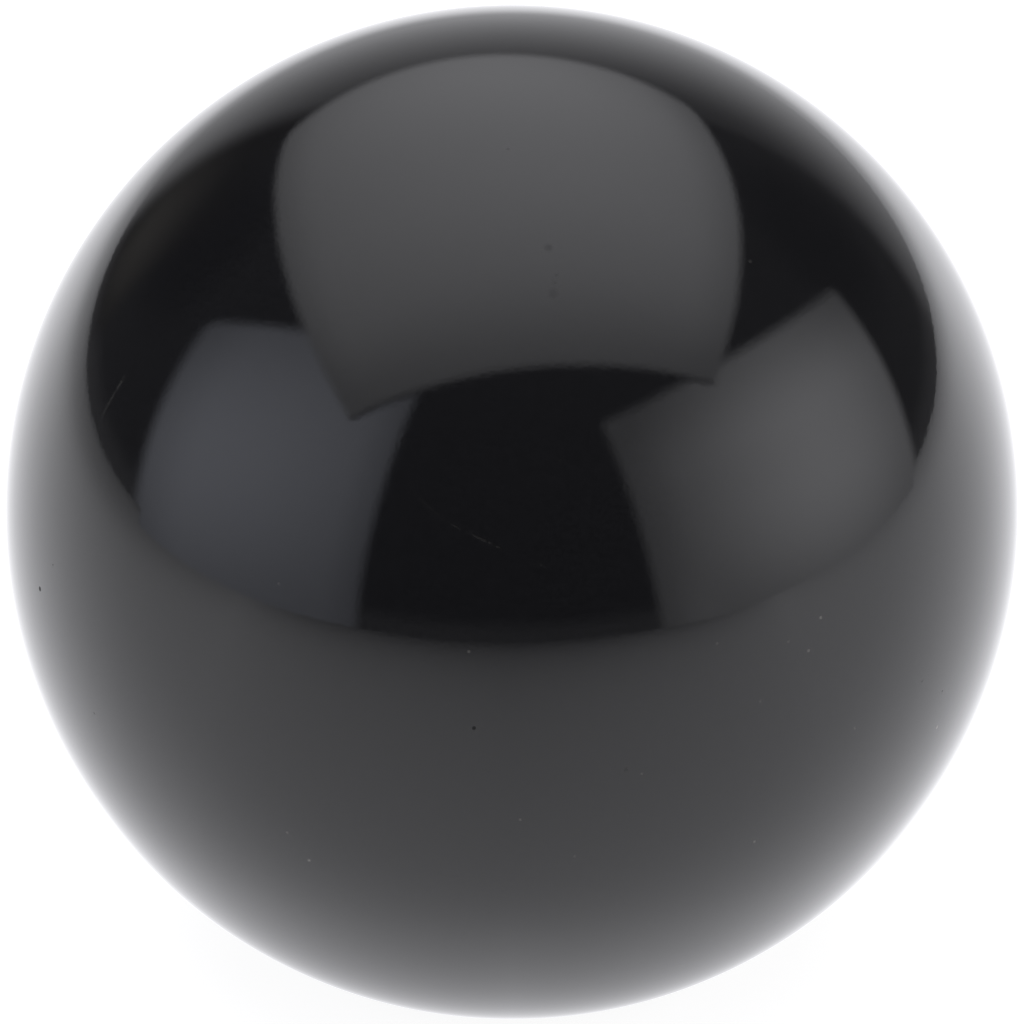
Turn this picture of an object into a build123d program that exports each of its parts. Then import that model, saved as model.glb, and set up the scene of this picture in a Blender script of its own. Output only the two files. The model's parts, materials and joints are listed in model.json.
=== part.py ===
from build123d import *

import os
from math import cos, pi, radians, sin, sqrt, tan

# Ball knob for a lever or a machine handle: a moulded thermoset ball with a brass threaded insert.
# Millimetres. +Z runs along the thread, up through the crown of the ball.
# The origin is the centre of the flat base, where the knob seats against its lever.

# Ball
BALL_DIAMETER = 40.0
BASE_CUT = 3.0  # the flat base lies this far inside the full sphere
BASE_EDGE_RADIUS = 0.4  # where the flat base meets the ball

# Metric thread, which the solid holds as a bore of its core diameter
THREAD_DIAMETER = 10.0
THREAD_PITCH = 1.5
THREADED_LENGTH = 15.0  # full thread, from the foot of the mouth chamfer
THREAD_RUNOUT = 1.5  # drilled past the thread, for the tap
DRILL_POINT_ANGLE = 118.0
MOUTH_CHAMFER_ANGLE = 90.0
MOUTH_CLEARANCE = 0.5  # the mouth is this much wider than the thread

# Brass insert, outside
COLLAR_WALL = 2.2  # brass round the thread at the plain collar
COLLAR_LENGTH = 1.5
KNURL_STEP = 0.2  # the crests of the knurl stand this far inside the collar
KNURL_DEPTH = 0.45
KNURL_TEETH = 36
KNURL_CREST_SHARE = 0.3  # how much of a tooth's pitch is its flat crest
LOWER_KNURL_LENGTH = 6.5
GROOVE_WIDTH = 2.5
GROOVE_DEPTH = 0.5  # below the roots of the knurl
CLOSED_END_THICKNESS = 1.4  # brass between the drill point and the top of the insert
TOP_CHAMFER = 0.6

# Sizes that follow from those above
BALL_RADIUS = BALL_DIAMETER / 2
BALL_CENTRE_HEIGHT = BALL_RADIUS - BASE_CUT
CORE_RADIUS = (THREAD_DIAMETER - THREAD_PITCH) / 2
MOUTH_RADIUS = (THREAD_DIAMETER + MOUTH_CLEARANCE) / 2
MOUTH_DEPTH = (MOUTH_RADIUS - CORE_RADIUS) / tan(radians(MOUTH_CHAMFER_ANGLE / 2))
BORE_DEPTH = MOUTH_DEPTH + THREADED_LENGTH + THREAD_RUNOUT
DRILL_POINT_HEIGHT = CORE_RADIUS / tan(radians(DRILL_POINT_ANGLE / 2))
INSERT_LENGTH = BORE_DEPTH + DRILL_POINT_HEIGHT + CLOSED_END_THICKNESS
COLLAR_RADIUS = THREAD_DIAMETER / 2 + COLLAR_WALL
KNURL_RADIUS = COLLAR_RADIUS - KNURL_STEP
KNURL_ROOT_RADIUS = KNURL_RADIUS - KNURL_DEPTH
GROOVE_RADIUS = KNURL_ROOT_RADIUS - GROOVE_DEPTH
GROOVE_BOTTOM = COLLAR_LENGTH + LOWER_KNURL_LENGTH
GROOVE_TOP = GROOVE_BOTTOM + GROOVE_WIDTH


def on_circle(radius, turns):
    """A point on a circle about the thread's axis, at an angle given in whole turns."""
    return (radius * cos(2 * pi * turns), radius * sin(2 * pi * turns))


def knurl_section():
    """The section through the insert's straight knurl: a flat crest and a sharp root for each tooth."""
    half_crest = KNURL_CREST_SHARE / 2
    points = []
    for tooth in range(KNURL_TEETH):
        points.append(on_circle(KNURL_RADIUS, (tooth - half_crest) / KNURL_TEETH))
        points.append(on_circle(KNURL_RADIUS, (tooth + half_crest) / KNURL_TEETH))
        points.append(on_circle(KNURL_ROOT_RADIUS, (tooth + 0.5) / KNURL_TEETH))
    return make_face(Polyline(*points, close=True))


def turned(*outline):
    """A solid turned about the thread's axis, from the (radius, height) corners of its half section."""
    half_section = make_face(Polyline(*outline, close=True))
    return revolve(Plane.XZ * half_section, Axis.Z)


def insert_blank():
    """The insert before it is drilled: a plain collar, then two knurled bands with a groove between."""
    collar = extrude(Circle(COLLAR_RADIUS), amount=COLLAR_LENGTH)
    knurl = extrude(knurl_section(), amount=INSERT_LENGTH)
    groove = turned(
        (GROOVE_RADIUS, GROOVE_BOTTOM),
        (COLLAR_RADIUS, GROOVE_BOTTOM),
        (COLLAR_RADIUS, GROOVE_TOP),
        (GROOVE_RADIUS, GROOVE_TOP),
    )
    # The chamfer's slope runs on past the crests, as far out as the collar.
    top_chamfer = turned(
        (KNURL_RADIUS - TOP_CHAMFER, INSERT_LENGTH),
        (COLLAR_RADIUS, INSERT_LENGTH - TOP_CHAMFER - KNURL_STEP),
        (COLLAR_RADIUS, INSERT_LENGTH),
    )
    return collar + knurl - groove - top_chamfer


def tapping_hole():
    """The blind hole for the thread: a chamfered mouth, the core bore and the cone of the drill's point."""
    return turned(
        (0, 0),
        (MOUTH_RADIUS, 0),
        (CORE_RADIUS, MOUTH_DEPTH),
        (CORE_RADIUS, BORE_DEPTH),
        (0, BORE_DEPTH + DRILL_POINT_HEIGHT),
    )


def ball_body():
    """The ball, flat at its base with a rounded edge, and moulded round the insert."""
    ball = Pos(0, 0, BALL_CENTRE_HEIGHT) * Sphere(BALL_RADIUS)
    below_base = Box(
        BALL_DIAMETER,
        BALL_DIAMETER,
        BALL_DIAMETER,
        align=(Align.CENTER, Align.CENTER, Align.MAX),
    )
    ball -= below_base
    base_edge = ball.edges().filter_by(GeomType.CIRCLE).group_by(Axis.Z)[0]
    ball = fillet(base_edge, radius=BASE_EDGE_RADIUS)
    return ball - insert_blank()


def threaded_insert():
    """The brass insert with its blind hole."""
    return insert_blank() - tapping_hole()


os.makedirs("parts", exist_ok=True)
export_step(ball_body(), "parts/ball_body.step")
export_step(threaded_insert(), "parts/threaded_insert.step")

FLAT_RADIUS = sqrt(
    (BALL_RADIUS - BASE_EDGE_RADIUS) ** 2 - (BALL_CENTRE_HEIGHT - BASE_EDGE_RADIUS) ** 2
)
print("flat base, out to its rounded edge: radius", round(FLAT_RADIUS, 2))
print("insert: length", round(INSERT_LENGTH, 2), "collar radius", COLLAR_RADIUS)
print("core bore: radius", CORE_RADIUS, "from", round(MOUTH_DEPTH, 3), "to", round(BORE_DEPTH, 3))
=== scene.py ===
import json
from functools import partial
from math import asin, atan2, ceil, cos, inf, pi, radians, sin, sqrt, tan

import bmesh
import bpy
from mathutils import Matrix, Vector


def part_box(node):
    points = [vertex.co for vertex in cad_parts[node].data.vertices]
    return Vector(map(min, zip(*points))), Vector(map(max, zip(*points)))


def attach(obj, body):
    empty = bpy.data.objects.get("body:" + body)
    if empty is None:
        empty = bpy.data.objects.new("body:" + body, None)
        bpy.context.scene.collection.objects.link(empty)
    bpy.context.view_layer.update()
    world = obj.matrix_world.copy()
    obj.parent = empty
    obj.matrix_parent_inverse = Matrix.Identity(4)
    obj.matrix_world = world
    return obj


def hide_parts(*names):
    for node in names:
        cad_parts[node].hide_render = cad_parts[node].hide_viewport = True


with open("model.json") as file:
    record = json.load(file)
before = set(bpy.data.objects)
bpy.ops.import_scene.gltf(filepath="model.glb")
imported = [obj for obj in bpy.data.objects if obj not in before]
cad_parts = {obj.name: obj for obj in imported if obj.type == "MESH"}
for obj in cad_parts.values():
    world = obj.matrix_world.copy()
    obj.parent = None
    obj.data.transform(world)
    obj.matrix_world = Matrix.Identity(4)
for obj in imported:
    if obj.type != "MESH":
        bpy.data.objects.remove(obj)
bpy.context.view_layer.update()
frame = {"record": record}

# A ball knob: a glossy black moulded ball round a brass insert, with the thread that the lever screws into.
# Metres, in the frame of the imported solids: the flat base at height 0, and the thread along +Z.

bl_info = {
    "name": "Ball Knob",
    "version": (1, 0, 0),
    "blender": (4, 5, 0),
    "location": "3D View > Sidebar > Ball Knob",
    "description": "Makes a glossy black ball knob with a threaded brass insert, and a studio round it",
    "category": "Object",
}

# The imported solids, which give the sizes their defaults.
BALL_LOW, BALL_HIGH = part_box("ball_body")
INSERT_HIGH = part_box("threaded_insert")[1]
BALL_RADIUS = min(-BALL_LOW.x, BALL_HIGH.x, -BALL_LOW.y, BALL_HIGH.y)
THREAD = next(mount for mount in frame["record"]["mounts"] if mount["name"] == "thread")
MILLIMETRE = 0.001
# A metric thread's form: how far a flank runs along the thread for its depth, and half its root in pitches.
FLANK_RUN = tan(radians(30))
HALF_ROOT = 1 / 16

# The photograph: its frame in pixels, and the outline that the ball has in it.
PHOTO_SIZE = 1024
OUTLINE_CENTRE = (511.8, 511.8)
OUTLINE_RADII = (504.8, 509.8)

# Marks on the ball that the photograph shows, placed at its pixels, with sizes in its pixels.
# A speck of dust: x, y, radius, and how light it is.
DUST_SPECKS = (
    (288, 834, 1.5, 0.20), (310, 862, 1.6, 0.36), (520, 821, 1.5, 0.16), (574, 858, 1.4, 0.09),
    (753, 843, 1.6, 0.26), (819, 618, 1.6, 0.27), (807, 651, 1.8, 0.20), (787, 642, 1.4, 0.07),
    (853, 729, 1.4, 0.17), (716, 644, 1.4, 0.08), (469, 652, 1.4, 0.17), (749, 260, 2.0, 0.05),
    (560, 460, 1.4, 0.02), (280, 584, 1.4, 0.08), (759, 702, 1.4, 0.07), (935, 728, 1.5, 0.65),
    (641, 775, 1.5, 0.12), (680, 968, 1.3, 0.25),
)
# A pit in the polish, which mirrors nothing and is darkened with painted shade: x, y, radius, and how much of
# the mirror it takes.
PITS = (
    (474, 729, 2.0, 0.9), (42, 589, 2.6, 0.7), (55, 565, 1.7, 0.36), (96, 714, 1.7, 0.4),
    (625, 771, 1.8, 0.48), (920, 682, 1.8, 0.36), (940, 692, 1.8, 0.36), (508, 147, 1.8, 0.34),
)
# A smudge that dulls the mirror: x, y, radius, strength.
SMUDGES = (
    (548, 246, 4.5, 0.8), (556, 274, 2.5, 0.6), (554, 281, 2.5, 0.6), (553, 292, 5.5, 0.7),
)
# A hairline scratch: x and y of its two ends, half its width, and how light it is.
SCRATCHES = (
    (99, 425, 128, 373, 1.7, 0.070),
    (398, 480, 446, 521, 0.8, 0.018),
    (442, 519, 462, 530, 0.8, 0.030),
    (458, 528, 502, 549, 1.0, 0.045),
    (532, 561, 546, 568, 1.2, 0.022),
)

LAMP_WHITE = (0.99, 0.99, 1.025)
# The narrowest that a softened edge can be, in place of none.
LEAST = 0.0001
# How a softbox's face glows where its own settings don't say: to its very edges, and as strongly there.
PLAIN_GLOW = {
    "Edge level": 1.0,
    "Dimming across": (LEAST, LEAST, 0.0),
    "Dimming up": (LEAST, LEAST, 0.0),
    "Blur up": (LEAST, LEAST, 0.0),
    "Dark hem": LEAST,
}
# The softboxes, as they are placed and as they glow. A place is an azimuth and an elevation in degrees from
# the ball's centre, and the corners run from the lower left one round to the upper left one.
SOFTBOXES = {
    "overhead_softbox": {
        "facing": (0, 90),
        "distance": 1.25,
        "corners": ((-48.5, 38.3), (65.6, 39.6), (156.8, 27.5), (-150.4, 25.6)),
        "bows": (0.016, 0.192),
        "tint": LAMP_WHITE,
        "Middle": 1.46,
        "Rim": 0.616,
        "Hot spot": (0.555, 0.353, 0.0),
        "Spread": (0.804, 0.899, 0.437),
        "Edge level": 0.769,
        "Dimming across": (0.154, 0.175, 0.0),
        "Dimming up": (0.198, 0.03, 0.0),
        "Blur across": (0.045, 0.045, 0.0),
        "Blur up": (0.022, 0.14, 0.0),
        "Dark hem": 0.034,
    },
    "left_softbox": {
        "facing": (-65, 20),
        "distance": 2.4,
        "corners": ((-32.3, -4.2), (-93.1, -11.3), (-106.7, 28.7), (-29.5, 63.7)),
        "bows": (0.0, -0.069),
        "tint": (0.94, 0.97, 1.09),
        "Middle": 1.12,
        "Rim": 0.536,
        "Hot spot": (0.6, 0.519, 0.0),
        "Spread": (0.87, 0.628, 0.586),
        "Edge level": 0.727,
        "Dimming across": (0.195, 0.339, 0.0),
        "Dimming up": (LEAST, 0.021, 0.0),
        "Blur across": (0.062, 0.11, 0.0),
        "Blur up": (LEAST, 0.078, 0.0),
    },
    "right_softbox": {
        "facing": (70, 20),
        "distance": 2.4,
        "corners": ((103.6, -11.2), (31.2, -5.6), (25.6, 46.4), (118.2, 25.6)),
        "bows": (0.0, -0.054),
        "tint": LAMP_WHITE,
        "Middle": 1.565,
        "Rim": 0.65,
        "Hot spot": (0.429, 0.518, 0.0),
        "Spread": (0.467, 2.282, 0.521),
        "Edge level": 0.554,
        "Dimming across": (0.023, 0.226, 0.0),
        "Dimming up": (LEAST, 0.339, 0.0),
        "Blur across": (0.07, 0.06, 0.0),
        "Blur up": (LEAST, 0.072, 0.0),
    },
    "backdrop": {
        "facing": (180, 0),
        "distance": 3.2,
        "corners": ((-143.3, -1.3), (128.7, -0.8), (150.0, 30.5), (-154.1, 36.0)),
        "tint": LAMP_WHITE,
        "Middle": 0.83,
        "Rim": 0.137,
        "Hot spot": (0.426, -0.3, 0.0),
        "Spread": (0.661, 1.478, 1.0),
        "Blur across": (0.131, 0.162, 0.0),
    },
    "warm_wall": {
        "facing": (-140, 8),
        "distance": 4.0,
        "corners": ((-125.0, -1.5), (-168.0, -1.5), (-168.0, 33.0), (-125.0, 33.0)),
        "tint": (1.06, 1.0, 0.9),
        "Middle": 0.11,
        "Rim": 0.025,
        "Hot spot": (0.3, 0.27, 0.0),
        "Spread": (0.38, 0.45, 0.3),
        "Blur across": (0.17, 0.22, 0.0),
        "Blur up": (0.15, 0.35, 0.0),
    },
    "lower_softbox": {
        "facing": (0, -90),
        "distance": 1.0,
        "corners": ((-135.0, -24.0), (135.0, -24.0), (45.0, -24.0), (-45.0, -24.0)),
        "tint": (1.0, 1.0, 1.0),
        "Middle": 1.0,
        "Rim": 0.6,
        "Hot spot": (0.4, 0.4, 0.0),
        "Spread": (0.6, 0.6, 0.6),
        "Blur across": (0.2, 0.2, 0.0),
        "Blur up": (0.2, 0.2, 0.0),
    },
}


def number(name, description, default, **settings):
    """A property that is a number."""
    return bpy.props.FloatProperty(name=name, description=description, default=default, **settings)


# A size in metres, a part from 0 to 1, and a light level where 1 is white.
length = partial(number, unit="LENGTH", precision=5, min=0.0)
share = partial(number, subtype="FACTOR", min=0.0, max=1.0)
brightness = partial(number, min=0.0)


def angle(name, description, degrees):
    """An angle property."""
    return number(name, description, radians(degrees), subtype="ANGLE")


def colour(name, description, default):
    """A colour property, in linear red, green and blue."""
    return bpy.props.FloatVectorProperty(
        name=name, description=description, default=default, size=3, subtype="COLOR", min=0.0
    )


class BallKnobSizes(bpy.types.PropertyGroup):
    """The sizes of the ball and of its insert."""

    ball_diameter: length("Ball diameter", "Across the full ball", 2 * BALL_RADIUS)
    knob_height: length("Height", "From the flat base to the crown", BALL_HIGH.z)
    base_edge_radius: length("Base edge", "Rounding where the flat base meets the ball", 0.0004)
    collar_radius: length("Collar radius", "Plain round end of the insert", INSERT_HIGH.x)
    collar_length: length("Collar length", "Height of the plain round end", 0.0015)
    insert_length: length("Insert length", "From the flat base to the insert's top", INSERT_HIGH.z)
    seam_bevel: length("Seam bevel", "Broken edge that shows as a line round the insert", 0.00005)
    knurl_teeth: bpy.props.IntProperty(
        name="Knurl teeth", description="Teeth round the insert", default=36, min=8
    )
    knurl_crest_share: share("Knurl crest", "How much of a tooth's pitch is its flat crest", 0.3)
    knurl_step: length("Knurl step", "How far the crests stand inside the collar", 0.0002)
    knurl_depth: length("Knurl depth", "From crest to root", 0.00045)
    lower_knurl_length: length("Lower knurl", "Length of the band next to the collar", 0.0065)
    groove_width: length("Groove width", "Between the two knurled bands", 0.0025)
    groove_depth: length("Groove depth", "Below the roots of the knurl", 0.0005)
    top_chamfer: length("Top chamfer", "On the insert's top edge", 0.0006)
    thread_diameter: length("Thread diameter", "Nominal, at the roots of the thread", 0.010)
    thread_pitch: length("Thread pitch", "From one turn to the next", 0.0015)
    core_radius: length(
        "Core radius", "Of the bore, at the thread's crests", THREAD["dims"]["r_mm"] * MILLIMETRE
    )
    mouth_depth: length("Mouth depth", "Of the chamfer at the mouth", THREAD["pos_m"][2])
    mouth_clearance: length("Mouth clearance", "How much wider the mouth is than the thread", 0.0005)
    bore_length: length(
        "Bore length", "From the mouth chamfer to the drill point", THREAD["dims"]["length_mm"] * MILLIMETRE
    )
    thread_runout: length("Thread run-out", "Where the thread fades at the closed end", 0.0015)
    drill_point: angle("Drill point", "Full angle of the cone at the closed end", 118)


class BallKnobFinish(bpy.types.PropertyGroup):
    """The colours and the polish of the two pieces."""

    ball_colour: colour("Ball colour", "Black moulding material", (0.0102, 0.0102, 0.0114))
    ball_roughness: share("Ball roughness", "Of the polished surface", 0.045)
    ball_ior: number("Ball refractive index", "How strongly the ball mirrors", 1.6, min=1.0)
    waviness: length("Waviness", "Height of the fine waves left by the polish", 0.0000006)
    mottle: share("Mottle", "How much the black varies from grain to grain", 0.12)
    base_roughness: share("Base roughness", "Of the flat base, which is faced and not polished", 0.32)
    dust_colour: colour("Dust colour", "The lightest specks on the polish", (0.42, 0.40, 0.36))
    brass_colour: colour("Brass colour", "Freshly cut brass", (0.80, 0.58, 0.27))
    tarnish_colour: colour("Tarnish colour", "Duller brass", (0.52, 0.35, 0.15))
    brass_roughness: share("Brass roughness", "Of the turned surfaces", 0.24)


class BallKnobStudio(bpy.types.PropertyGroup):
    """The camera's place and the levels of the lights."""

    elevation: angle("Elevation", "Of the camera above the horizon", 28)
    distance: length("Distance", "From the camera to the ball's centre", 0.4)
    room: colour("Dark room", "What the ball mirrors between the lights", (0.0440, 0.0440, 0.0455))
    floor_white: brightness("Floor white", "Plain white that the lamps' light adds to", 1.82)
    floor_front: brightness("Floor, front", "Mirrored brightness in front of the knob", 1.05)
    floor_back: brightness("Floor, back", "Mirrored brightness behind the knob", 2.2)
    floor_shadow: share("Floor shadow", "How much of the floor's white depends on the lamps", 0.5)


# Meshes


def knurl_stations(sizes):
    """The places round a ring that carry a vertex: the angle, and how deep in the knurl it is from 0 to 1."""
    crest = sizes.knurl_crest_share / 2
    slope = (crest + 0.5) / 2
    tooth_outline = ((-crest, 0.0), (0.0, 0.0), (crest, 0.0), (slope, 0.5), (0.5, 1.0), (1 - slope, 0.5))
    return [
        (2 * pi * (tooth + place) / sizes.knurl_teeth, depth)
        for tooth in range(sizes.knurl_teeth)
        for place, depth in tooth_outline
    ]


def round_ring(bm, stations, radius, height):
    """A level ring of vertices about the thread's axis."""
    return [bm.verts.new((radius * cos(turn), radius * sin(turn), height)) for turn, _ in stations]


def knurled_ring(bm, stations, sizes, height, limit=inf):
    """A ring that follows the knurl, cut back to a limit where one is given."""
    crest_radius = sizes.collar_radius - sizes.knurl_step
    verts = []
    for turn, depth in stations:
        radius = min(crest_radius - depth * sizes.knurl_depth, limit)
        verts.append(bm.verts.new((radius * cos(turn), radius * sin(turn), height)))
    return verts


def join(bm, first, second):
    """A band of faces between two rings."""
    for i in range(len(first)):
        j = (i + 1) % len(first)
        bm.faces.new((first[i], first[j], second[j], second[i]))


def join_all(bm, rings):
    """Bands of faces from each ring to the next."""
    for first, second in zip(rings, rings[1:]):
        join(bm, first, second)


def close(bm, ring, height):
    """A fan of faces from a ring to a point on the axis."""
    tip = bm.verts.new((0.0, 0.0, height))
    for i in range(len(ring)):
        bm.faces.new((ring[i], ring[(i + 1) % len(ring)], tip))


def insert_side(bm, stations, sizes, first):
    """The insert's outside, from its first ring up to its closed top. The ball's cavity has the same skin."""
    groove_bottom = sizes.collar_length + sizes.lower_knurl_length
    groove_top = groove_bottom + sizes.groove_width
    crest_radius = sizes.collar_radius - sizes.knurl_step
    groove_radius = crest_radius - sizes.knurl_depth - sizes.groove_depth
    rings = [
        first,
        round_ring(bm, stations, sizes.collar_radius, sizes.collar_length),
        knurled_ring(bm, stations, sizes, sizes.collar_length),
        knurled_ring(bm, stations, sizes, groove_bottom),
        round_ring(bm, stations, groove_radius, groove_bottom),
        round_ring(bm, stations, groove_radius, groove_top),
        knurled_ring(bm, stations, sizes, groove_top),
    ]
    chamfer_steps = 4
    for step in range(chamfer_steps + 1):
        cut = sizes.top_chamfer * step / chamfer_steps
        height = sizes.insert_length - sizes.top_chamfer + cut
        rings.append(knurled_ring(bm, stations, sizes, height, crest_radius - cut))
    join_all(bm, rings)
    close(bm, rings[-1], sizes.insert_length)


def ball_outline(sizes):
    """The ball's half section outside, as (radius, height) points from the flat base to near the crown."""
    ball_radius = sizes.ball_diameter / 2
    centre_height = sizes.knob_height - ball_radius
    edge = sizes.base_edge_radius
    flat_radius = sqrt((ball_radius - edge) ** 2 - (centre_height - edge) ** 2)
    tangent = atan2(edge - centre_height, flat_radius)
    edge_steps = 6
    ball_steps = 108
    flat_steps = 3
    points = []
    for step in range(1, flat_steps):
        width = flat_radius - sizes.collar_radius
        points.append((sizes.collar_radius + width * step / flat_steps, 0.0))
    for step in range(edge_steps):
        turn = -pi / 2 + (tangent + pi / 2) * step / edge_steps
        points.append((flat_radius + edge * cos(turn), edge + edge * sin(turn)))
    for step in range(ball_steps):
        turn = tangent + (pi / 2 - tangent) * step / ball_steps
        points.append((ball_radius * cos(turn), centre_height + ball_radius * sin(turn)))
    return points


def ball_mesh(sizes):
    """The moulded ball, with its cavity round the insert."""
    bm = bmesh.new()
    stations = knurl_stations(sizes)
    mouth = round_ring(bm, stations, sizes.collar_radius, 0.0)
    insert_side(bm, stations, sizes, mouth)
    rings = [mouth, *(round_ring(bm, stations, *point) for point in ball_outline(sizes))]
    join_all(bm, rings)
    close(bm, rings[-1], sizes.knob_height)
    for face in bm.faces:
        face.material_index = int(all(vert.co.z == 0.0 for vert in face.verts))
    return bm


def thread_rows(sizes):
    """The heights of the thread's rows within one pitch, from the middle of the groove."""
    root = sizes.thread_pitch * HALF_ROOT
    crest = root + (sizes.thread_diameter / 2 - sizes.core_radius) * FLANK_RUN
    flank_steps = 4
    crest_steps = 3
    rows = [0.0]
    for step in range(flank_steps + 1):
        rows.append(root + (crest - root) * step / flank_steps)
    crest_width = sizes.thread_pitch - 2 * crest
    for step in range(1, crest_steps):
        rows.append(crest + crest_width * step / crest_steps)
    for step in range(flank_steps + 1):
        rows.append(sizes.thread_pitch - crest + (crest - root) * step / flank_steps)
    return rows


def thread_radius(sizes, from_groove):
    """The thread's radius at a height measured from the middle of its groove."""
    root = sizes.thread_pitch * HALF_ROOT
    offset = abs((from_groove / sizes.thread_pitch + 0.5) % 1.0 - 0.5) * sizes.thread_pitch
    return sizes.thread_diameter / 2 - max(0.0, offset - root) / FLANK_RUN


def threaded_wall(bm, stations, sizes, bore_depth, mouth_radius):
    """The bore's wall: rows that climb with the right-handed thread, level at both of its ends."""
    major_radius = sizes.thread_diameter / 2
    thread_depth = major_radius - sizes.core_radius
    turns = ceil(bore_depth / sizes.thread_pitch) + 1
    offsets = thread_rows(sizes)
    rows = []
    for turn_number in range(-1, turns):
        for offset in offsets:
            row = []
            for turn, _ in stations:
                height = sizes.thread_pitch * (turn_number + turn / (2 * pi)) + offset
                height = min(max(height, 0.0), bore_depth)
                mouth = mouth_radius - (mouth_radius - sizes.core_radius) * height / sizes.mouth_depth
                tap_lead = major_radius - thread_depth * (
                    (height - bore_depth + sizes.thread_runout) / sizes.thread_runout
                )
                groove = thread_radius(sizes, offset)
                radius = max(sizes.core_radius, mouth, min(groove, tap_lead))
                row.append(bm.verts.new((radius * cos(turn), radius * sin(turn), height)))
            rows.append(row)
    last = len(stations) - 1
    one_turn = len(offsets)
    for j in range(len(rows) - one_turn - 1):
        for i in range(last):
            bm.faces.new((rows[j][i], rows[j][i + 1], rows[j + 1][i + 1], rows[j + 1][i]))
        after = rows[j + one_turn]
        above = rows[j + one_turn + 1]
        bm.faces.new((rows[j][last], after[0], above[0], rows[j + 1][last]))


def insert_mesh(sizes):
    """The brass insert, with its thread cut all the way."""
    bm = bmesh.new()
    stations = knurl_stations(sizes)
    bore_depth = sizes.mouth_depth + sizes.bore_length
    mouth_radius = (sizes.thread_diameter + sizes.mouth_clearance) / 2
    point_height = sizes.core_radius / tan(sizes.drill_point / 2)
    side = round_ring(bm, stations, sizes.collar_radius, sizes.seam_bevel)
    insert_side(bm, stations, sizes, side)
    face_outer = sizes.collar_radius - sizes.seam_bevel
    face_steps = 4
    face = [side]
    for step in range(face_steps + 1):
        radius = face_outer + (mouth_radius - face_outer) * step / face_steps
        face.append(round_ring(bm, stations, radius, 0.0))
    join_all(bm, face)
    threaded_wall(bm, stations, sizes, bore_depth, mouth_radius)
    point_steps = 6
    cone = []
    for step in range(point_steps):
        left = 1 - step / point_steps
        height = bore_depth + point_height * (1 - left)
        cone.append(round_ring(bm, stations, sizes.core_radius * left, height))
    join_all(bm, cone)
    close(bm, cone[-1], bore_depth + point_height)
    return bm


def finished(name, bm):
    """The mesh that has been in the making."""
    mesh = bpy.data.meshes.new(name)
    bm.to_mesh(mesh)
    bm.free()
    return mesh


def in_scene(name, data):
    """A new object in the scene, from a mesh or a camera."""
    made = bpy.data.objects.new(name, data)
    bpy.context.scene.collection.objects.link(made)
    return made


def new_object(name, bm, *materials):
    """A finished object from a mesh in the making: welded, facing outward, smooth but for its sharp edges."""
    weld_distance = 0.0000005
    sharp_angle = radians(28)
    bmesh.ops.remove_doubles(bm, verts=bm.verts, dist=weld_distance)
    bmesh.ops.dissolve_degenerate(bm, edges=bm.edges, dist=weld_distance)
    bmesh.ops.recalc_face_normals(bm, faces=bm.faces)
    mesh = finished(name, bm)
    mesh.shade_smooth()
    mesh.set_sharp_from_angle(angle=sharp_angle)
    for material in materials:
        mesh.materials.append(material)
    return in_scene(name, mesh)


# Shader nodes


def add(tree, kind, inputs, **settings):
    """A new node. Its inputs are given by socket, each as a value or as another node's output."""
    node = tree.nodes.new(kind)
    for name, value in settings.items():
        setattr(node, name, value)
    for socket, value in inputs.items():
        if isinstance(value, bpy.types.NodeSocket):
            tree.links.new(value, node.inputs[socket])
        else:
            node.inputs[socket].default_value = value
    return node


def calculate(operation, tree, *values, clamp=False):
    """The output of a Math node."""
    inputs = dict(enumerate(values))
    return add(tree, "ShaderNodeMath", inputs, operation=operation, use_clamp=clamp).outputs[0]


# The usual ones, by name.
plus = partial(calculate, "ADD")
subtract = partial(calculate, "SUBTRACT")
multiply = partial(calculate, "MULTIPLY")
divide = partial(calculate, "DIVIDE")
multiply_add = partial(calculate, "MULTIPLY_ADD")
maximum = partial(calculate, "MAXIMUM")


def vector_math(tree, operation, *values):
    """The outputs of a Vector Math node: a vector, or the number "Value" for a length or a product."""
    return add(tree, "ShaderNodeVectorMath", dict(enumerate(values)), operation=operation).outputs


def ramp(tree, value, low, high, at_low=0.0, at_high=1.0):
    """A smooth step of a value, from at_low where it is low to at_high where it is high."""
    steps = {"Value": value, "From Min": low, "From Max": high, "To Min": at_low, "To Max": at_high}
    return add(tree, "ShaderNodeMapRange", steps, interpolation_type="SMOOTHSTEP").outputs["Result"]


def noise(tree, position, scale, detail):
    """The outputs of a noise texture: a number from 0 to 1, and a colour."""
    return add(tree, "ShaderNodeTexNoise", {"Vector": position, "Scale": scale, "Detail": detail}).outputs


def blend_colours(tree, factor, first, second):
    """Two colours mixed by a factor."""
    return add(tree, "ShaderNodeMix", {0: factor, 6: first, 7: second}, data_type="RGBA").outputs[2]


def blend_values(tree, factor, first, second):
    """Two numbers mixed by a factor."""
    return add(tree, "ShaderNodeMix", {0: factor, 2: first, 3: second}, data_type="FLOAT").outputs[0]


def separate(tree, vector):
    """The three parts of a vector."""
    return tuple(add(tree, "ShaderNodeSeparateXYZ", {0: vector}).outputs)


def reach(tree, across, up):
    """The length of a flat vector, from its two parts."""
    flat = add(tree, "ShaderNodeCombineXYZ", {"X": across, "Y": up}).outputs[0]
    return vector_math(tree, "LENGTH", flat)["Value"]


def opaque(rgb):
    """A colour with its alpha."""
    return (*rgb, 1.0)


def new_group(name, vectors, numbers):
    """A shader node group with its named inputs, and their values inside it."""
    tree = bpy.data.node_groups.new(name, "ShaderNodeTree")
    for kind, sockets in (("NodeSocketVector", vectors), ("NodeSocketFloat", numbers)):
        for socket in sockets:
            tree.interface.new_socket(name=socket, in_out="INPUT", socket_type=kind)
    return tree, tree.nodes.new("NodeGroupInput").outputs


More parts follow.
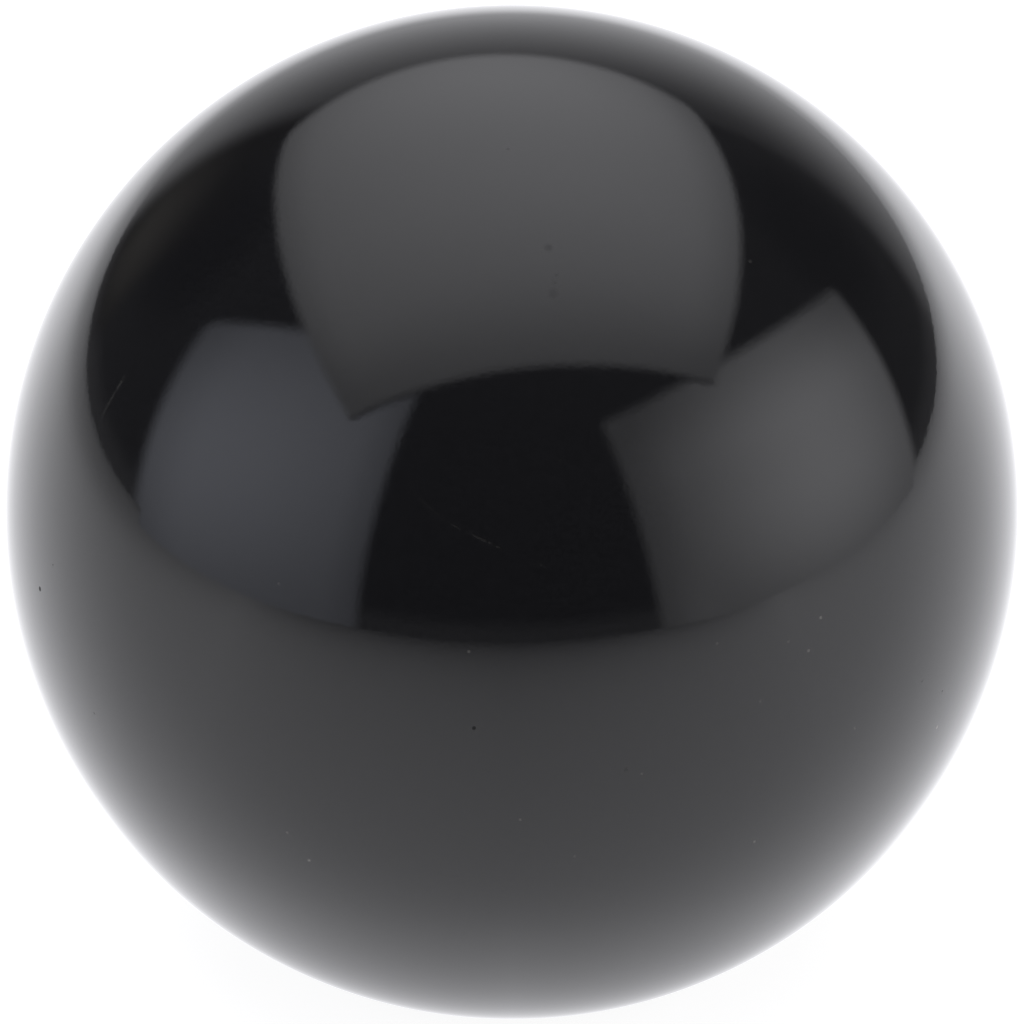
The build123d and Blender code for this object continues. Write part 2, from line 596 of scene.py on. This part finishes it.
def put_out(tree, results):
    """The group's outputs, all of them numbers, given by name."""
    for name in results:
        tree.interface.new_socket(name=name, in_out="OUTPUT", socket_type="NodeSocketFloat")
    add(tree, "NodeGroupOutput", results)


def use_group(tree, name, inputs):
    """The outputs of an existing group, placed in a tree."""
    return add(tree, "ShaderNodeGroup", inputs, node_tree=bpy.data.node_groups[name]).outputs


def scattered_dust(tree, position, cells_per_metre, share_of_cells, speck_size):
    """The dust group's mask, as strong as all the dust on this knob."""
    inputs = {
        "Position": position,
        "Cells per metre": cells_per_metre,
        "Share of cells": share_of_cells,
        "Speck size": speck_size,
        "Strength": 0.25,
    }
    return use_group(tree, "sparse_dust", inputs)["Mask"]


def turning_marks(tree, position, ring_spacing, unevenness):
    """The height from the turning marks group."""
    inputs = {"Position": position, "Ring spacing": ring_spacing, "Unevenness": unevenness}
    return use_group(tree, "turning_marks", inputs)["Height"]


def build_turning_marks():
    """Rings left by a turning tool on a face across the axis, as a height from 0 to 1."""
    tree, given = new_group("turning_marks", ["Position"], ["Ring spacing", "Unevenness"])
    x, y, _ = separate(tree, given["Position"])
    rings = divide(tree, reach(tree, x, y), given["Ring spacing"])
    wave = calculate("SINE", tree, multiply(tree, rings, 2 * pi))
    wave = multiply_add(tree, wave, 0.5, 0.5)
    inputs = {"W": rings, "Scale": 0.7, "Detail": 3.0}
    line = add(tree, "ShaderNodeTexNoise", inputs, noise_dimensions="1D").outputs[0]
    put_out(tree, {"Height": blend_values(tree, given["Unevenness"], wave, line)})


def build_dust():
    """Sparse specks scattered over a surface, as a mask."""
    numbers = ["Cells per metre", "Share of cells", "Speck size", "Strength"]
    tree, given = new_group("sparse_dust", ["Position"], numbers)
    raggedness = 0.00008
    ragged = noise(tree, given["Position"], 9000.0, 2.0)["Color"]
    bent = vector_math(tree, "MULTIPLY_ADD", ragged, (raggedness,) * 3, given["Position"])[0]
    cells = add(tree, "ShaderNodeTexVoronoi", {"Vector": bent, "Scale": given["Cells per metre"]}).outputs
    chance = add(tree, "ShaderNodeSeparateColor", {0: cells["Color"]}).outputs[0]
    chosen = calculate("LESS_THAN", tree, chance, given["Share of cells"])
    near = calculate("LESS_THAN", tree, cells["Distance"], given["Speck size"])
    put_out(tree, {"Mask": multiply(tree, multiply(tree, chosen, near), given["Strength"])})


def camera_place(sizes, studio):
    """The camera's location, and the ball's centre that it looks at."""
    centre = Vector((0.0, 0.0, sizes.knob_height - sizes.ball_diameter / 2))
    back = Vector((0.0, -cos(studio.elevation), sin(studio.elevation)))
    return centre + back * studio.distance, centre


def outline_tangent(sizes, studio):
    """The tangent of half the angle that the ball's outline fills, seen from the camera."""
    return tan(asin(sizes.ball_diameter / 2 / studio.distance))


def ball_point(pixel, sizes, studio):
    """The place on the ball that the photograph shows at a pixel."""
    eye, centre = camera_place(sizes, studio)
    across = (pixel[0] - OUTLINE_CENTRE[0]) / OUTLINE_RADII[0] * outline_tangent(sizes, studio)
    down = (pixel[1] - OUTLINE_CENTRE[1]) / OUTLINE_RADII[1] * outline_tangent(sizes, studio)
    forward = (centre - eye).normalized()
    right = Vector((1.0, 0.0, 0.0))
    ray = (forward + right * across + forward.cross(right) * down).normalized()
    nearest = ray.dot(centre - eye)
    miss_squared = (centre - eye).length_squared - nearest**2
    return eye + ray * (nearest - sqrt((sizes.ball_diameter / 2) ** 2 - miss_squared))


def pixel_length(sizes):
    """The length on the ball, facing the camera, that one pixel of the photograph covers."""
    return sizes.ball_diameter / (OUTLINE_RADII[0] + OUTLINE_RADII[1])


def spots(tree, position, marks, sizes, studio, softness):
    """A mask of round marks at pixels of the photograph, each as strong as it is there."""
    mask = None
    for x, y, pixels, strength in marks:
        centre = ball_point((x, y), sizes, studio)
        away = vector_math(tree, "DISTANCE", position, centre)["Value"]
        radius = pixels * pixel_length(sizes)
        spot = ramp(tree, away, radius * (1 - softness), radius * (1 + softness), strength, 0.0)
        mask = spot if mask is None else maximum(tree, mask, spot)
    return mask


def hairlines(tree, position, lines, sizes, studio):
    """A mask of fine scratches between pairs of pixels, stronger towards their second end."""
    centre = camera_place(sizes, studio)[1]
    fades_from = 0.9
    mask = None
    for x0, y0, x1, y1, pixels, strength in lines:
        start = ball_point((x0, y0), sizes, studio)
        end = ball_point((x1, y1), sizes, studio)
        across = (start - centre).cross(end - centre).normalized()
        along = (end - start).normalized()
        whole = (end - start).length
        offset = vector_math(tree, "SUBTRACT", position, start)[0]
        aside = calculate("ABSOLUTE", tree, vector_math(tree, "DOT_PRODUCT", offset, across)["Value"])
        run = vector_math(tree, "DOT_PRODUCT", offset, along)["Value"]
        line = ramp(tree, aside, 0.0, 2 * pixels * pixel_length(sizes), strength, 0.0)
        begins = ramp(tree, run, 0.0, whole / 2)
        ends = ramp(tree, run, whole * fades_from, whole, 1.0, 0.0)
        line = multiply(tree, line, multiply(tree, begins, ends))
        mask = line if mask is None else maximum(tree, mask, line)
    return mask


def new_material(name):
    """An empty material, its tree of nodes, and the object's own coordinates."""
    material = bpy.data.materials.new(name)
    material.use_nodes = True
    tree = material.node_tree
    tree.nodes.clear()
    return material, tree, tree.nodes.new("ShaderNodeTexCoord").outputs["Object"]


def set_surface(tree, inputs):
    """A Principled BSDF as the material's surface."""
    shader = add(tree, "ShaderNodeBsdfPrincipled", inputs).outputs[0]
    add(tree, "ShaderNodeOutputMaterial", {"Surface": shader})


def bump(tree, height, distance, normal=None):
    """The normal that a height in metres gives, on top of an earlier normal."""
    inputs = {"Height": height, "Distance": distance, "Strength": 1.0}
    if normal is not None:
        inputs["Normal"] = normal
    return add(tree, "ShaderNodeBump", inputs).outputs["Normal"]


def black_material(sizes, finish, studio):
    """Polished black moulding material, with the dust, pits and scratches that the photograph shows."""
    material, tree, position = new_material("polished_black")
    raggedness = 0.00006
    crisp = 0.4
    soft = 0.8
    ragged = noise(tree, position, 8000.0, 1.0)
    bent = vector_math(tree, "MULTIPLY_ADD", ragged["Color"], (raggedness,) * 3, position)[0]
    bent = vector_math(tree, "SUBTRACT", bent, (raggedness / 2,) * 3)[0]
    specks = spots(tree, bent, DUST_SPECKS, sizes, studio, crisp)
    pits = spots(tree, bent, PITS, sizes, studio, crisp)
    smudges = spots(tree, position, SMUDGES, sizes, studio, soft)
    broken = ramp(tree, ragged[0], 0.40, 0.60, 0.3, 1.0)
    scratches = multiply(tree, hairlines(tree, position, SCRATCHES, sizes, studio), broken)

    # The side that the photograph shows has only the dust that it shows there. The far side has its own.
    scattered = scattered_dust(tree, position, 400.0, 0.05, 0.02)
    eye, centre = camera_place(sizes, studio)
    offset = vector_math(tree, "SUBTRACT", position, centre)[0]
    towards = vector_math(tree, "DOT_PRODUCT", offset, eye - centre)["Value"]
    far_side = calculate("LESS_THAN", tree, towards, 0.0)
    scattered = multiply(tree, scattered, far_side)
    dust = maximum(tree, specks, scattered)

    slow = noise(tree, position, 260.0, 0.0)[0]
    fine = noise(tree, position, 6500.0, 0.0)[0]
    slow_share = 8.0
    waves = multiply_add(tree, slow, slow_share, fine)
    normal = bump(tree, waves, finish.waviness)

    cloud = noise(tree, position, 120.0, 2.0)[0]
    cloudiness = 0.015
    roughness = ramp(tree, cloud, 0.45, 0.8, finish.ball_roughness, finish.ball_roughness + cloudiness)
    smudge_dulling = 0.56
    pit_dulling = 1.0
    dust_dulling = 0.3
    roughness = multiply_add(tree, smudges, smudge_dulling, roughness)
    roughness = multiply_add(tree, pits, pit_dulling, roughness)
    roughness = multiply_add(tree, dust, dust_dulling, roughness, clamp=True)
    light_marks = maximum(tree, dust, scratches)
    shade = ramp(tree, fine, 0.25, 0.75)
    lighter = opaque([part * (1 + finish.mottle) for part in finish.ball_colour])
    darker = opaque([part * (1 - finish.mottle) for part in finish.ball_colour])
    base_colour = blend_colours(tree, shade, darker, lighter)
    base_colour = blend_colours(tree, light_marks, base_colour, opaque(finish.dust_colour))
    # Painted shade: the pits are also darkened in colour, for the shade in their hollows; their dulling above
    # is real roughness.
    painted_pit_shade = 0.002
    base_colour = blend_colours(tree, pits, base_colour, opaque((painted_pit_shade,) * 3))
    inputs = {"Base Color": base_colour, "Roughness": roughness, "IOR": finish.ball_ior, "Normal": normal}
    set_surface(tree, inputs)
    return material


def black_base_material(finish):
    """The flat base: the same black, faced with a tool and left with its rings and a dull film."""
    material, tree, position = new_material("faced_black")
    rings = turning_marks(tree, position, 0.00022, 0.5)
    ring_height = 0.000004
    dust = scattered_dust(tree, position, 900.0, 0.08, 0.03)
    film = noise(tree, position, 400.0, 4.0)[0]
    film_dulling = 0.14
    roughness = ramp(tree, film, 0.3, 0.7, finish.base_roughness, finish.base_roughness + film_dulling)
    black = blend_colours(tree, dust, opaque(finish.ball_colour), opaque(finish.dust_colour))
    normal = bump(tree, rings, ring_height)
    inputs = {"Base Color": black, "Roughness": roughness, "IOR": finish.ball_ior, "Normal": normal}
    set_surface(tree, inputs)
    return material


def brass_material(finish):
    """Turned brass: rings on its face, a duller film in patches, colour that darkens deeper into the insert,
    and specks of dust.
    """
    material, tree, position = new_material("turned_brass")
    rings = turning_marks(tree, position, 0.00012, 0.6)
    ring_height = 0.000005
    scuff_height = 0.000002
    film_tarnish = 0.35
    film_dulling = 0.14
    scuff_dulling = 0.08
    dust_over_metal = 3.0
    mouth = 0.001
    deep = 0.014
    dust = scattered_dust(tree, position, 900.0, 0.06, 0.03)
    film = ramp(tree, noise(tree, position, 350.0, 5.0)[0], 0.35, 0.75)
    # The colour darkens deeper into the insert, from near its mouth to deep inside; the film adds to it.
    depth = ramp(tree, separate(tree, position)[2], mouth, deep, 0.1, 0.75)
    tarnish = multiply_add(tree, film, film_tarnish, depth, clamp=True)
    brass = blend_colours(tree, tarnish, opaque(finish.brass_colour), opaque(finish.tarnish_colour))
    brass = blend_colours(tree, dust, brass, opaque(finish.dust_colour))
    scuffs = noise(tree, position, 2500.0, 3.0)[0]
    roughness = multiply_add(tree, film, film_dulling, finish.brass_roughness)
    roughness = multiply_add(tree, scuffs, scuff_dulling, roughness, clamp=True)
    metallic = multiply_add(tree, dust, -dust_over_metal, 1.0, clamp=True)
    normal = bump(tree, scuffs, scuff_height, bump(tree, rings, ring_height))
    inputs = {"Base Color": brass, "Metallic": metallic, "Roughness": roughness, "Normal": normal}
    set_surface(tree, inputs)
    return material


# Studio


def direction(azimuth, elevation):
    """The direction from the ball at an azimuth in degrees, 0 towards the camera and 90 to its right."""
    a = radians(azimuth)
    e = radians(elevation)
    return Vector((sin(a) * cos(e), -cos(a) * cos(e), sin(e)))


def panel_mesh(name, centre, facing, distance, corners, bows):
    """A flat panel that looks at the ball, with its corners in four directions from it and a grid of faces.

    Its lower and upper edges are bowed upward at the middle, each by a share of the panel's depth.
    """
    steps = 16
    lower_bow, upper_bow = bows
    towards = direction(*facing)
    places = []
    for corner in corners:
        ray = direction(*corner)
        places.append(centre + ray * (distance / ray.dot(towards)))
    low_left, low_right, high_right, high_left = places
    bm = bmesh.new()
    uv = bm.loops.layers.uv.new("across_and_up")
    grid = []
    for row in range(steps + 1):
        left = low_left.lerp(high_left, row / steps)
        right = low_right.lerp(high_right, row / steps)
        grid.append([])
        for column in range(steps + 1):
            across = column / steps
            place = left.lerp(right, across)
            depth = high_left.lerp(high_right, across) - low_left.lerp(low_right, across)
            bow = lower_bow + (upper_bow - lower_bow) * row / steps
            place += depth * (bow * 4 * across * (1 - across))
            grid[row].append(bm.verts.new(place))
    for row in range(steps):
        for column in range(steps):
            places = ((row, column), (row, column + 1), (row + 1, column + 1), (row + 1, column))
            face = bm.faces.new([grid[i][j] for i, j in places])
            for loop, (i, j) in zip(face.loops, places):
                loop[uv].uv = (j / steps, i / steps)
    return finished(name, bm)


def inset(tree, across, up, across_widths, up_widths):
    """How far a place on a panel is inside its edges: 0 on them, and 1 past the widths given for the four."""
    left, right, _ = separate(tree, across_widths)
    lower, upper, _ = separate(tree, up_widths)
    shortfalls = []
    for place, first, second in ((across, left, right), (up, lower, upper)):
        from_first = divide(tree, place, first)
        from_second = divide(tree, subtract(tree, 1.0, place), second)
        nearer = calculate("MINIMUM", tree, from_first, from_second)
        shortfalls.append(subtract(tree, 1.0, nearer, clamp=True))
    return subtract(tree, 1.0, reach(tree, *shortfalls), clamp=True)


def build_glow():
    """A softbox's face: its brightness, from a hot spot to dimmer edges, and how solid it is towards them.

    Each pair of widths is (left, right) or (lower, upper), as shares of the panel.
    """
    widths = ["Dimming across", "Dimming up", "Blur across", "Blur up"]
    numbers = ["Middle", "Rim", "Edge level", "Dark hem"]
    tree, given = new_group("softbox_glow", ["Across and up", "Hot spot", "Spread", *widths], numbers)
    across, up, _ = separate(tree, given["Across and up"])
    spot_across, spot_up, _ = separate(tree, given["Hot spot"])
    spread_across, spread_above, spread_below = separate(tree, given["Spread"])
    aside = divide(tree, subtract(tree, across, spot_across), spread_across)
    above = divide(tree, subtract(tree, up, spot_up), spread_above)
    below = divide(tree, subtract(tree, spot_up, up), spread_below)
    away = reach(tree, aside, maximum(tree, above, below))
    glow = ramp(tree, away, 0.0, 1.0, given["Middle"], given["Rim"])
    inside = inset(tree, across, up, given["Dimming across"], given["Dimming up"])
    glow = multiply(tree, glow, ramp(tree, inside, 0.0, 1.0, given["Edge level"], 1.0))
    glow = multiply(tree, glow, ramp(tree, up, 0.0, given["Dark hem"]))
    solid = ramp(tree, inset(tree, across, up, given["Blur across"], given["Blur up"]), 0.0, 1.0)
    put_out(tree, {"Brightness": glow, "Solid": solid})


def light_material(name, tint, glow):
    """The glowing face of a softbox, which thins out to nothing at its edges."""
    material, tree, _ = new_material(name)
    place = add(tree, "ShaderNodeUVMap", {}, uv_map="across_and_up").outputs["UV"]
    face = use_group(tree, "softbox_glow", {"Across and up": place, **PLAIN_GLOW, **glow})
    light = add(tree, "ShaderNodeVectorMath", {0: tint, "Scale": face["Brightness"]}, operation="SCALE")
    inputs = {
        "Base Color": (0.0, 0.0, 0.0, 1.0),
        "Specular IOR Level": 0.0,
        "Emission Color": light.outputs[0],
        "Emission Strength": 1.0,
        "Alpha": face["Solid"],
    }
    set_surface(tree, inputs)
    material.cycles.emission_sampling = "NONE"
    return material


def add_softbox(name, centre, facing, distance, corners, tint, bows=(0.0, 0.0), **glow):
    """One softbox: it lights the knob and shows in its polish, and the camera looks through it."""
    mesh = panel_mesh(name, centre, facing, distance, corners, bows)
    mesh.materials.append(light_material(name + "_glow", tint, glow))
    panel = in_scene(name, mesh)
    panel.visible_camera = False


def floor_mesh(inner_radius):
    """A level sheet, wide behind the knob and narrow in front, with a hole under the flat base.

    The hole lets the lamp below light the underside.
    """
    front = ((-0.45, -1.2), (0.5, -1.2), (0.5, 0.1), (3.2, 0.8))
    back = ((3.2, 3.1), (-3.2, 3.1), (-3.2, 0.08), (-0.45, 0.0))
    corners = front + back
    steps = 10
    drop = 0.00001
    bm = bmesh.new()
    inner = []
    outer = []
    for start, end in zip(corners, corners[1:] + corners[:1]):
        for step in range(steps):
            place = Vector(start).lerp(Vector(end), step / steps)
            outer.append(bm.verts.new((*place, -drop)))
            inner.append(bm.verts.new((*(place.normalized() * inner_radius), -drop)))
    join(bm, outer, inner)
    bmesh.ops.recalc_face_normals(bm, faces=bm.faces)
    if bm.faces[:][0].normal.z < 0:
        bmesh.ops.reverse_faces(bm, faces=bm.faces)
    return finished("floor", bm)


def falloff(tree, distance, halfway, power):
    """A value that falls from 1 with distance, and is a half at the halfway distance."""
    raised = calculate("POWER", tree, divide(tree, distance, halfway), power)
    return divide(tree, 1.0, plus(tree, raised, 1.0))


def floor_glow(tree, position, studio):
    """The floor's painted brightness in the polish: a painted pool of the lamps' light over it, with the
    knob's painted shadow; x and y are metres from the knob.
    """
    x, y, _ = separate(tree, position)
    distance = reach(tree, x, y)
    aside = calculate("ABSOLUTE", tree, x)
    rightward = divide(tree, x, plus(tree, aside, 1.0))
    backward = divide(tree, y, distance)

    # Brighter behind the knob than in front, and darkest far out in front.
    rise_ahead = 0.0257
    rise_slope = 1.51
    begins = plus(tree, y, rise_ahead)
    spreads = multiply_add(tree, aside, rise_slope, rise_ahead)
    rise = divide(tree, begins, spreads)
    glow = ramp(tree, rise, 0.0, 1.0, studio.floor_front, studio.floor_back)
    front_slope = 0.59
    front_halfway = 0.2
    ahead = multiply_add(tree, aside, -front_slope, multiply(tree, y, -1.0))
    ahead = maximum(tree, ahead, 0.0)
    dimming = divide(tree, front_halfway, plus(tree, ahead, front_halfway))
    glow = multiply(tree, glow, dimming)

    # Dimmer with distance, slowly in front and faster behind, in a pool that reaches further on the right.
    front_reach = 2.2
    pool_reach = 0.286
    pool_to_the_right = 0.28
    past_the_pool = 0.33
    right_gain = 0.415
    in_front = falloff(tree, distance, front_reach, 2.0)
    pool = multiply_add(tree, rightward, pool_to_the_right, pool_reach)
    behind = falloff(tree, distance, pool, 3.0)
    behind = multiply_add(tree, behind, 1.0 - past_the_pool, past_the_pool)
    is_behind = multiply_add(tree, backward, 0.5, 0.545, clamp=True)
    glow = multiply(tree, glow, blend_values(tree, is_behind, in_front, behind))
    glow = multiply(tree, glow, multiply_add(tree, rightward, right_gain, 1.0))

    # Painted light: brighter on the two diagonals behind, where the side lamps reach past the knob.
    across = divide(tree, aside, distance)
    diagonal = multiply(tree, multiply(tree, across, backward), 2.0, clamp=True)
    diagonal_reach = 1.43
    diagonal_gain = 0.37
    far_loss = 0.166
    gain = falloff(tree, distance, diagonal_reach, 2.0)
    gain = multiply_add(tree, gain, diagonal_gain, -far_loss)
    gain = multiply(tree, calculate("POWER", tree, diagonal, 2.0), gain)
    glow = multiply(tree, glow, plus(tree, gain, 1.0))

    # Painted shadow of the knob: darker behind it, and close round its foot.
    shade_reach = 0.284
    shade_depth = 0.466
    foot_radius = 0.0105
    foot_shade_end = 0.0194
    foot_level = 0.704
    shade = falloff(tree, distance, shade_reach, 2.0)
    shade = multiply(tree, ramp(tree, backward, 0.0, 1.0), shade)
    glow = multiply(tree, glow, multiply_add(tree, shade, -shade_depth, 1.0))
    foot_shade = ramp(tree, distance, foot_radius, foot_shade_end, foot_level, 1.0)
    return multiply(tree, glow, foot_shade)


def floor_material(studio):
    """White floor: plain white to the camera, the table's painted glow in the polish with the knob's painted
    shadow, and clear from below.
    """
    material, tree, position = new_material("white_floor")
    path = tree.nodes.new("ShaderNodeLightPath").outputs
    glow = floor_glow(tree, position, studio)
    strength = blend_values(tree, path["Is Glossy Ray"], studio.floor_white, glow)
    tint = blend_colours(tree, path["Is Glossy Ray"], (1.0, 1.0, 1.0, 1.0), opaque(LAMP_WHITE))
    white = add(tree, "ShaderNodeEmission", {"Color": tint, "Strength": strength}).outputs[0]
    lit = add(tree, "ShaderNodeBsdfDiffuse", {"Color": (0.9, 0.9, 0.9, 1.0)}).outputs[0]
    seen = maximum(tree, path["Is Camera Ray"], path["Is Transmission Ray"])
    plain = multiply(tree, seen, 1.0 - studio.floor_shadow)
    plain = maximum(tree, plain, path["Is Glossy Ray"])
    surface = add(tree, "ShaderNodeMixShader", {0: plain, 1: lit, 2: white}).outputs[0]
    clear = tree.nodes.new("ShaderNodeBsdfTransparent").outputs[0]
    below = tree.nodes.new("ShaderNodeNewGeometry").outputs["Backfacing"]
    one_sided = add(tree, "ShaderNodeMixShader", {0: below, 1: surface, 2: clear}).outputs[0]
    add(tree, "ShaderNodeOutputMaterial", {"Surface": one_sided})
    material.cycles.emission_sampling = "NONE"
    return material


def set_world(studio):
    """White to the camera, and to everything else a dark room.

    The room is dimmer in front and in two places behind the side lamps, and lighter at its horizon.
    """
    world = bpy.data.worlds.new("studio")
    world.use_nodes = True
    tree = world.node_tree
    tree.nodes.clear()
    outward = tree.nodes.new("ShaderNodeTexCoord").outputs["Generated"]
    _, backward, upward = separate(tree, outward)
    level_behind = 1.12
    front_dimming = 0.48
    side_dimming = 0.7
    dim_place = direction(127, 27)
    dim_width = radians(18)
    horizon_level = 1.9
    horizon_height = 0.09
    level = calculate("MINIMUM", tree, backward, 0.0)
    level = multiply_add(tree, level, front_dimming, level_behind)
    aside = separate(tree, vector_math(tree, "ABSOLUTE", outward)[0])[0]
    either_side = add(tree, "ShaderNodeCombineXYZ", {"X": aside, "Y": backward, "Z": upward}).outputs[0]
    nearness = vector_math(tree, "DOT_PRODUCT", either_side, dim_place)["Value"]
    dimming = ramp(tree, nearness, cos(dim_width), 1.0, 0.0, side_dimming)
    level = subtract(tree, level, dimming)
    horizon = ramp(tree, calculate("ABSOLUTE", tree, upward), 0.0, horizon_height, horizon_level, 0.0)
    level = plus(tree, level, horizon)
    path = tree.nodes.new("ShaderNodeLightPath").outputs
    seen = maximum(tree, path["Is Camera Ray"], path["Is Transmission Ray"])
    tint = blend_colours(tree, seen, opaque(studio.room), (1.0, 1.0, 1.0, 1.0))
    strength = blend_values(tree, seen, level, 1.0)
    background = add(tree, "ShaderNodeBackground", {"Color": tint, "Strength": strength}).outputs[0]
    add(tree, "ShaderNodeOutputWorld", {"Surface": background})
    bpy.context.scene.world = world


def add_camera(sizes, studio):
    """The camera at the photograph's viewing angle, with the ball's outline as large as it is there."""
    eye, centre = camera_place(sizes, studio)
    data = bpy.data.cameras.new("camera")
    outline_share = (OUTLINE_RADII[0] + OUTLINE_RADII[1]) / PHOTO_SIZE
    data.lens = data.sensor_width / 2 * outline_share / outline_tangent(sizes, studio)
    camera = in_scene("camera", data)
    camera.location = eye
    camera.rotation_mode = "QUATERNION"
    camera.rotation_quaternion = (centre - eye).to_track_quat("-Z", "Y")
    bpy.context.scene.camera = camera


# Operators


class BALLKNOB_OT_ball(bpy.types.Operator):
    """Make the polished black ball with its cavity"""

    bl_idname = "ball_knob.make_ball"
    bl_label = "Make Ball"

    def execute(self, context):
        scene = context.scene
        material = black_material(scene.ball_knob_sizes, scene.ball_knob_finish, scene.ball_knob_studio)
        base_material = black_base_material(scene.ball_knob_finish)
        ball = new_object("black_ball", ball_mesh(scene.ball_knob_sizes), material, base_material)
        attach(ball, "root")
        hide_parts("ball_body")
        return {"FINISHED"}


class BALLKNOB_OT_insert(bpy.types.Operator):
    """Make the brass insert with its thread"""

    bl_idname = "ball_knob.make_insert"
    bl_label = "Make Insert"

    def execute(self, context):
        scene = context.scene
        material = brass_material(scene.ball_knob_finish)
        insert = new_object("brass_insert", insert_mesh(scene.ball_knob_sizes), material)
        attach(insert, "root")
        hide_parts("threaded_insert")
        return {"FINISHED"}


class BALLKNOB_OT_studio(bpy.types.Operator):
    """Make the floor, the softboxes, the dark room and the camera"""

    bl_idname = "ball_knob.make_studio"
    bl_label = "Make Studio"

    def execute(self, context):
        scene = context.scene
        sizes = scene.ball_knob_sizes
        studio = scene.ball_knob_studio
        centre = camera_place(sizes, studio)[1]
        floor = in_scene("floor", floor_mesh(sizes.ball_diameter / 4))
        floor.data.materials.append(floor_material(studio))
        for name, settings in SOFTBOXES.items():
            add_softbox(name, centre, **settings)
        set_world(studio)
        add_camera(sizes, studio)
        return {"FINISHED"}


class BALLKNOB_PT_panel(bpy.types.Panel):
    """Sizes, finish and studio of the ball knob"""

    bl_idname = "BALLKNOB_PT_panel"
    bl_label = "Ball Knob"
    bl_space_type = "VIEW_3D"
    bl_region_type = "UI"
    bl_category = "Ball Knob"

    def draw(self, context):
        for group in SETTINGS:
            settings = getattr(context.scene, group)
            box = self.layout.box()
            for name in settings.__annotations__:
                box.prop(settings, name)
        for operator in (BALLKNOB_OT_ball, BALLKNOB_OT_insert, BALLKNOB_OT_studio):
            self.layout.operator(operator.bl_idname)


SETTINGS = {
    "ball_knob_sizes": BallKnobSizes,
    "ball_knob_finish": BallKnobFinish,
    "ball_knob_studio": BallKnobStudio,
}
CLASSES = (*SETTINGS.values(), BALLKNOB_OT_ball, BALLKNOB_OT_insert, BALLKNOB_OT_studio, BALLKNOB_PT_panel)


def register():
    """Registers the classes and hangs the settings on the scene."""
    for cls in CLASSES:
        bpy.utils.register_class(cls)
    for name, cls in SETTINGS.items():
        setattr(bpy.types.Scene, name, bpy.props.PointerProperty(type=cls))


def unregister():
    """Takes the settings and the classes away again."""
    for name in SETTINGS:
        delattr(bpy.types.Scene, name)
    for cls in reversed(CLASSES):
        bpy.utils.unregister_class(cls)


def main():
    """Makes the knob and its studio."""
    register()
    bpy.context.scene.view_settings.view_transform = "Standard"
    build_turning_marks()
    build_dust()
    build_glow()
    bpy.ops.ball_knob.make_ball()
    bpy.ops.ball_knob.make_insert()
    bpy.ops.ball_knob.make_studio()


if __name__ == "__main__":
    main()
